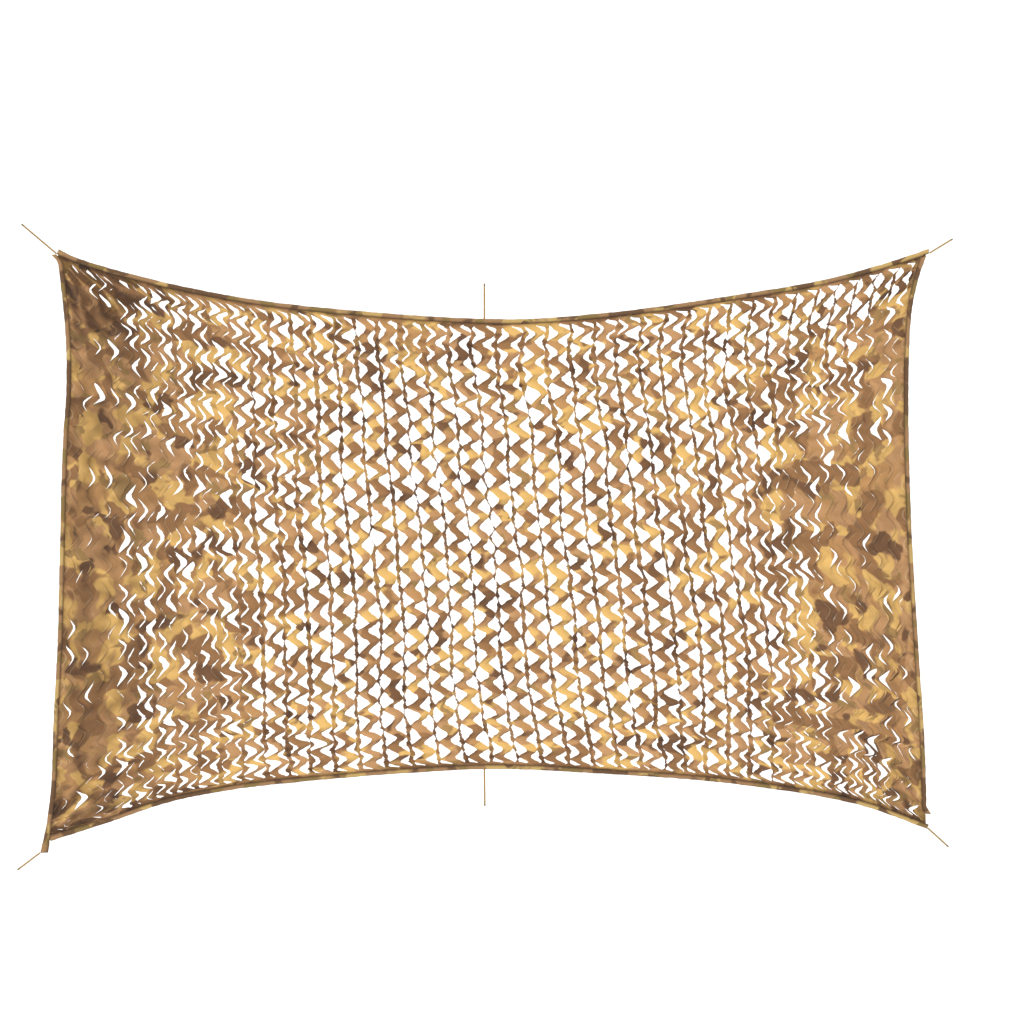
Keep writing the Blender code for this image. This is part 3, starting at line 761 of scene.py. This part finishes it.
    part = np.array(STRAND_PARTS)[:, None]
    strand_x = mix(strand_left[:, None, :], strand_right[:, None, :], part)
    deep = (hang(opened_strand, "depth") / 1000 + gathered_strand)[:, None, :]
    strand_y = deep * (1 - 2 * part) - STRAND_AHEAD
    strand_flat = (np.arange(COLUMNS + 1)[:, None, None] + part / 2) * FLAT_PITCH
    # Painted shade on the strands, darkest where they are twisted edge-on.
    even_shade, knot_shade, uneven_shade = STRAND_SHADE
    shaded = even_shade + knot_shade * knot + uneven_shade * uneven(line, down, (82, 110), 16)
    strand_painted_shade = (mix(FLAT_STRAND_SHADE, 1.0, twist_strand) * shaded)[:, None, :]

    left_x = np.stack([EDGE_INSET + 0.0 * level, mix(EDGE_INSET, strand_x[0, 0], 0.5)])[None]
    far_edge = width - EDGE_INSET
    right_x = np.stack([mix(strand_x[-1, -1], far_edge, 0.5), far_edge])[None]
    strips = {
        "ribbon": (ribbon_x, ribbon_y, ribbon_flat, ribbon_painted_shade, at_edge),
        "strand": (strand_x, strand_y, strand_flat, strand_painted_shade, np.abs(2 * part - 1) > 0.99),
        "left": (left_x, 0.0, left_x - left_x[:, -1:] * 0.5, 0.0, 0.0),
        "right": (right_x, 0.0, right_x - far_edge + (COLUMNS + 0.75) * FLAT_PITCH, 0.0, 0.0),
    }
    numbers, found, count = {}, [], 0
    for name, (x, y, flat_x, painted_strip_shade, edge) in strips.items():
        numbers[name] = np.arange(count, count + x.size).reshape(x.shape)
        count += x.size
        swing = 0.0 if name in ("left", "right") else FLAT_SWING * (straight - 0.5)
        values = np.broadcast_arrays(x / width, level, y, flat_x + swing, painted_strip_shade, edge)
        found.append(np.stack(values, axis=-1).reshape(-1, 6))
    across, place_level, depth, flat_x, painted_strip_shade, edge = np.concatenate(found).T

    # The bridges: the right side of a strand meets its ribbon at even arms, and a ribbon's right
    # side the next strand at odd arms. Nothing is cut at the hems.
    near = np.abs(level - np.round(level)) <= LEVELS[1] + 1e-9
    even = np.round(level) % 2 == 0
    at_hem = (level <= 0) | (level >= HALF_ROWS)
    for meets, kept, dropped in (
        ((near & even) | at_hem, numbers["strand"][:-1, -1], numbers["ribbon"][:, 0]),
        ((near & ~even) | at_hem, numbers["ribbon"][:, -1], numbers["strand"][1:, 0]),
    ):
        for values in (across, depth):
            values[kept[:, meets]] = (values[kept[:, meets]] + values[dropped[:, meets]]) / 2
        edge[kept[:, meets]] = 0.0
        dropped[:, meets] = kept[:, meets]

    place_down = rows_down(place_level, across)
    x, z = on_sheet(across, place_down).T
    at_side = 1 - smooth((np.minimum(across, 1 - across) - 0.07) / 0.07)
    folded = off_the_hem(across, place_down) * (fold_depth(x, z, across, place_down, at_side) + depth)
    y = DEPTH_LIMIT * np.tanh(folded / DEPTH_LIMIT)
    # Painted shadow on the cloth just inside the bindings.
    shade = 1 - smooth((from_edge(across, place_down) - TAPE_WIDTH) / 0.010)
    # Painted shade: towards the sides, most at the left, in the creases and along both hems, patchy.
    painted_shade = np.interp(across, PAINTED_SHADE_ACROSS["share"], PAINTED_SHADE_ACROSS["left_to_right"])
    for number, dark in enumerate(CREASES["dark"]):
        strength, folded = crease(x, z, across, place_down, number)
        painted_shade = painted_shade + dark * strength * (CREASE_SHADE_SHARES[0] + CREASE_SHADE_SHARES[1] * folded**3)
    painted_shade = painted_shade + HEM_SHADE * np.exp(-np.minimum(place_down, 1 - place_down) * HEIGHT / HEM_SHADE_REACH)
    painted_shade = painted_shade * (1 + PATCHY * uneven(across, place_down, (90, 60), 53))
    left = np.concatenate([numbers["left"], numbers["strand"][:1, :1]], axis=1)
    right = np.concatenate([numbers["strand"][-1:, -1:], numbers["right"]], axis=1)
    faces = np.concatenate([quads(n) for n in (numbers["ribbon"], numbers["strand"], left, right)])
    flat = np.column_stack([flat_x, -place_level * FLAT_ARM])
    marks = {"painted_strip_shade": painted_strip_shade, "edge": edge, "shade": shade, "painted_shade": painted_shade}
    return np.column_stack([x, y, z]), faces, flat, marks


def make_net(material):
    net = add_mesh("netting", *net_surface())
    net.data.materials.append(material)
    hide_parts("net")
    return net


# ---- bindings


def tape_outline(tape):
    """Points along a tape's outer and inner side, the direction along it and the distance run."""
    length = length_of(tape["edge"])
    first, last = tape["start"], length - tape["stop"]
    run = np.linspace(first, last, round((last - first) / TAPE_STEP) + 1)
    path = along(tape["edge"], run / length)
    ahead = unit(np.gradient(path, run, axis=0))
    inward = tape["inward"] * np.column_stack([ahead[:, 1], -ahead[:, 0]])
    out, width = 0.0, TAPE_WIDTH
    for (at, stands_out, wide, _), from_end in (
        (tape["first_end"], run - first),
        (tape["last_end"], last - run),
    ):
        out = out + np.interp(from_end, at, stands_out)
        width = width + np.interp(from_end, at, wide) - TAPE_WIDTH
    outer = path - inward * np.asarray(out)[:, None]
    inner = outer + inward * width[:, None]
    inner[0] += ahead[0] * tape["first_end"][-1]
    inner[-1] -= ahead[-1] * tape["last_end"][-1]
    return outer, inner, ahead, run


def leaf_depth(run, share, seed):
    """How far a leaf's outside stands from the middle of the cloth: puffed up between fold and seam,
    pinched at the seam, and rippled along its length."""
    puff = PUFF * np.sin(math.pi * np.clip(share / STITCH_LINE, 0.0, 1.0))
    pinch = PINCHED * np.exp(-(((share - STITCH_LINE) / 0.05) ** 2))
    free = smooth((share - STITCH_LINE) / (1 - STITCH_LINE))
    place = run / TAPE_SPAN
    wave = uneven(place, share, (190, 2), seed) + 0.6 * uneven(place, share, (420, 3), seed + 1)
    return TAPE_SLOT + TAPE_WALL + puff - pinch + RIPPLE * wave * (0.4 + free)


def make_tape(name, tape, seed, material):
    """A folded U section carried along the edge. Its corners go from the free edge of the front leaf
    round the fold to that of the back leaf, and back inside; at both ends the leaves are closed."""
    leaf = np.array((1.00, 0.91, STITCH_LINE, 0.72, 0.48, 0.24, 0.080, 0.015))
    height = np.array((1.00, 1.00, 1.00, 1.00, 1.00, 1.00, 0.92, 0.55))
    corners = len(leaf)
    share = np.concatenate([leaf, [0.0], leaf[::-1], [1.0, 0.12, 0.12, 1.0]])
    side = np.repeat((-1, 0, 1, -1), (corners, 1, corners + 2, 2))
    height = np.concatenate([height, [0.0], height[::-1], np.zeros(4)])
    inside = np.repeat((0.0, 1.0), (2 * corners + 1, 4))

    outer, inner, _, run = tape_outline(tape)
    across = inner - outer
    near_end = np.minimum(run - run[0], run[-1] - run)
    pucker = PUCKER * uneven(run / TAPE_SPAN, 0.5, (230, 2), seed + 2) * smooth(near_end / 0.02)
    outer = outer + across * (pucker / np.linalg.norm(across, axis=1))[:, None]
    station = np.concatenate([[0], np.arange(len(run)), [len(run) - 1]])
    closed = np.zeros((len(station), 1))
    closed[[0, -1]] = 1.0
    share = mix(share, share * (1 - inside * (share < 0.5)), closed)
    run = run[station][:, None]
    leaves = np.where(side < 0, leaf_depth(run, share, seed), leaf_depth(run, share, seed + 3))
    depth = side * mix(mix(height * leaves, TAPE_SLOT, inside), TAPE_SLOT, closed)
    level = outer[station][:, None, :] + (inner - outer)[station][:, None, :] * share[..., None]
    points = np.stack([level[..., 0], depth, level[..., 1]], axis=-1).reshape(-1, 3)
    flat = np.stack([run + 0.0 * share, side * share * TAPE_WIDTH], axis=-1).reshape(-1, 2)
    number = np.arange(depth.size).reshape(depth.shape)
    after = np.roll(number, -1, axis=1)
    faces = np.stack([number[:-1], after[:-1], after[1:], number[1:]], axis=-1).reshape(-1, 4)
    if tape["inward"] > 0:
        faces = faces[:, ::-1]
    marks = {"shade": smooth((share - 0.66) / 0.14).ravel()}
    piece = add_mesh(name + "_cloth", points, faces, flat, marks)
    piece.data.materials.append(material)
    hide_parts(name)
    return piece


def make_stitches(material):
    """One lockstitch line round all four tapes, on both faces: each stitch a bar with a flat back."""
    bars = []
    for seed, tape in enumerate(TAPES.values()):
        outer, inner, ahead, run = tape_outline(tape)
        at = np.arange(run[0] + STITCH_PITCH, run[-1] - STITCH_PITCH, STITCH_PITCH)
        seam = mix(outer, inner, STITCH_LINE)
        middle = np.column_stack([np.interp(at, run, values) for values in seam.T])
        ahead = unit(np.column_stack([np.interp(at, run, values) for values in ahead.T]))
        sideways = np.column_stack([-ahead[:, 1], ahead[:, 0]])
        for face, leaf_seed in ((-1, SEEDS * seed), (1, SEEDS * seed + 3)):
            surface = face * leaf_depth(at, STITCH_LINE, leaf_seed)
            for along_it, beside, lift in BAR:
                place = middle + ahead * along_it * STITCH / 2 + sideways * beside * THREAD / 2
                bars.append(np.column_stack([place[:, 0], surface + face * lift * THREAD, place[:, 1]]))
    corners, total = len(BAR), len(bars) // len(BAR)
    points = np.concatenate([np.stack(bars[i * corners : (i + 1) * corners], axis=1) for i in range(total)])
    number = np.arange(points.shape[0] * corners).reshape(-1, corners)
    faces = np.concatenate([number[:, corner] for corner in BAR_FACES])
    piece = add_mesh("binding_stitches", points.reshape(-1, 3), faces)
    piece.data.materials.append(material)
    return piece


# ---- cords


def make_cord(name, route, material):
    """A tube round the route whose radius rises and falls three times round, turning once in a lay,
    and swells a little where its cut tip is melted together. At the tip both rings close in."""
    length = length_of(route)
    steps = max(8, round(length / CORD_STEP))
    line = along(route, np.linspace(0.0, 1.0, steps + 1))
    ahead = unit(np.gradient(line, axis=0))
    run = np.concatenate([[0.0], np.cumsum(np.linalg.norm(np.diff(line, axis=0), axis=1))])
    turn = np.arange(CORD_SIDES) / CORD_SIDES * math.tau
    lobes = np.abs(np.cos(1.5 * (turn - math.tau * run[:, None] / CORD_LAY)))
    tip = smooth((run[:, None] - run[-1] + SEALED) / 0.004)
    radius = CORD / 2 * mix(0.82 + 0.24 * lobes, 1.04, 0.7 * tip)
    rounding = np.clip((run[-1] - run[:, None]) / 0.0025, 0.0, 1.0)
    radius = radius * (0.72 + 0.28 * np.sqrt(1 - (1 - rounding) ** 2))
    out = np.column_stack([-ahead[:, 1], ahead[:, 0]])
    plane = line[:, None, :] + out[:, None, :] * (radius * np.cos(turn))[..., None]
    points = np.stack([plane[..., 0], radius * np.sin(turn), plane[..., 1]], axis=-1).reshape(-1, 3)
    ends = np.stack([[line[0, 0], 0.0, line[0, 1]], [line[-1, 0], 0.0, line[-1, 1]]])
    points = np.concatenate([points, ends])
    sealed = np.concatenate([np.broadcast_to(tip, radius.shape).ravel(), [0.0, 1.0]])
    number = np.arange(radius.size).reshape(radius.shape)
    after = np.roll(number, -1, axis=1)
    faces = np.stack([number[:-1], number[1:], after[1:], after[:-1]], axis=-1).reshape(-1, 4)
    caps = []
    for end, ring in ((len(points) - 2, 0), (len(points) - 1, -1)):
        first, second = number[ring][::2], number[ring][1::2]
        third = np.roll(number[ring], -2)[::2]
        fan = np.column_stack([np.full(len(first), end), first, second, third])
        caps.append(fan if ring == 0 else fan[:, ::-1])
    piece = add_mesh(name + "_cord", points, np.concatenate([faces, *caps]), None, {"sealed": sealed})
    piece.data.materials.append(material)
    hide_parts(name)
    length = round(length, 4)
    return piece


# ---- studio


def make_studio():
    """A white floor far below the net, a broad key light from the upper left in front, a weaker one
    from the upper left behind, and a pale sky."""
    angle = np.linspace(0.0, math.tau, 65)
    mesh = bpy.data.meshes.new("floor")
    rim = [(FLOOR_RADIUS * math.cos(a), FLOOR_RADIUS * math.sin(a), FLOOR) for a in angle[:-1]]
    mesh.from_pydata(rim, [], [list(range(len(rim)))])
    floor = add_object("floor", mesh)
    mesh.materials.append(pale_paint())

    for name, energy, lean, turn in LIGHTS:
        light = bpy.data.lights.new(name, "SUN")
        light.energy = energy
        light.angle = math.radians(SUN_WIDTH)
        add_object(name, light).rotation_euler = (math.radians(lean), 0.0, math.radians(turn))

    world = bpy.data.worlds.new("studio")
    world.use_nodes = True
    sky = world.node_tree.nodes["Background"]
    sky.inputs["Color"].default_value = linear("#F7F8FA")
    sky.inputs["Strength"].default_value = SKY
    bpy.context.scene.world = world
    bpy.context.scene.view_settings.view_transform = "Standard"


def make_camera():
    """A view from the front and a little from above, with no perspective, like one from far away."""
    camera = bpy.data.cameras.new("camera")
    camera.type = "ORTHO"
    camera.ortho_scale = PIXEL_ACROSS * FRAME_PIXELS
    camera.clip_start, camera.clip_end = 1.0, 500.0
    placed = add_object("camera", camera)
    back, up = DISTANCE * math.cos(RAISED), DISTANCE * math.sin(RAISED)
    placed.location = (AIM[0], AIM[1] - back, AIM[2] + up)
    placed.rotation_euler = (math.pi / 2 - RAISED, 0.0, 0.0)
    bpy.context.scene.camera = placed


make_camera()
cord_material = twisted_polyester()
cords = [make_cord(name, route, cord_material) for name, route in CORD_ROUTES.items()]
tape_material = folded_tape()
tapes = [
    make_tape(name, tape, SEEDS * number, tape_material) for number, (name, tape) in enumerate(TAPES.items())
]
stitches = make_stitches(sewing_thread())
netting = make_net(printed_oxford())
make_studio()
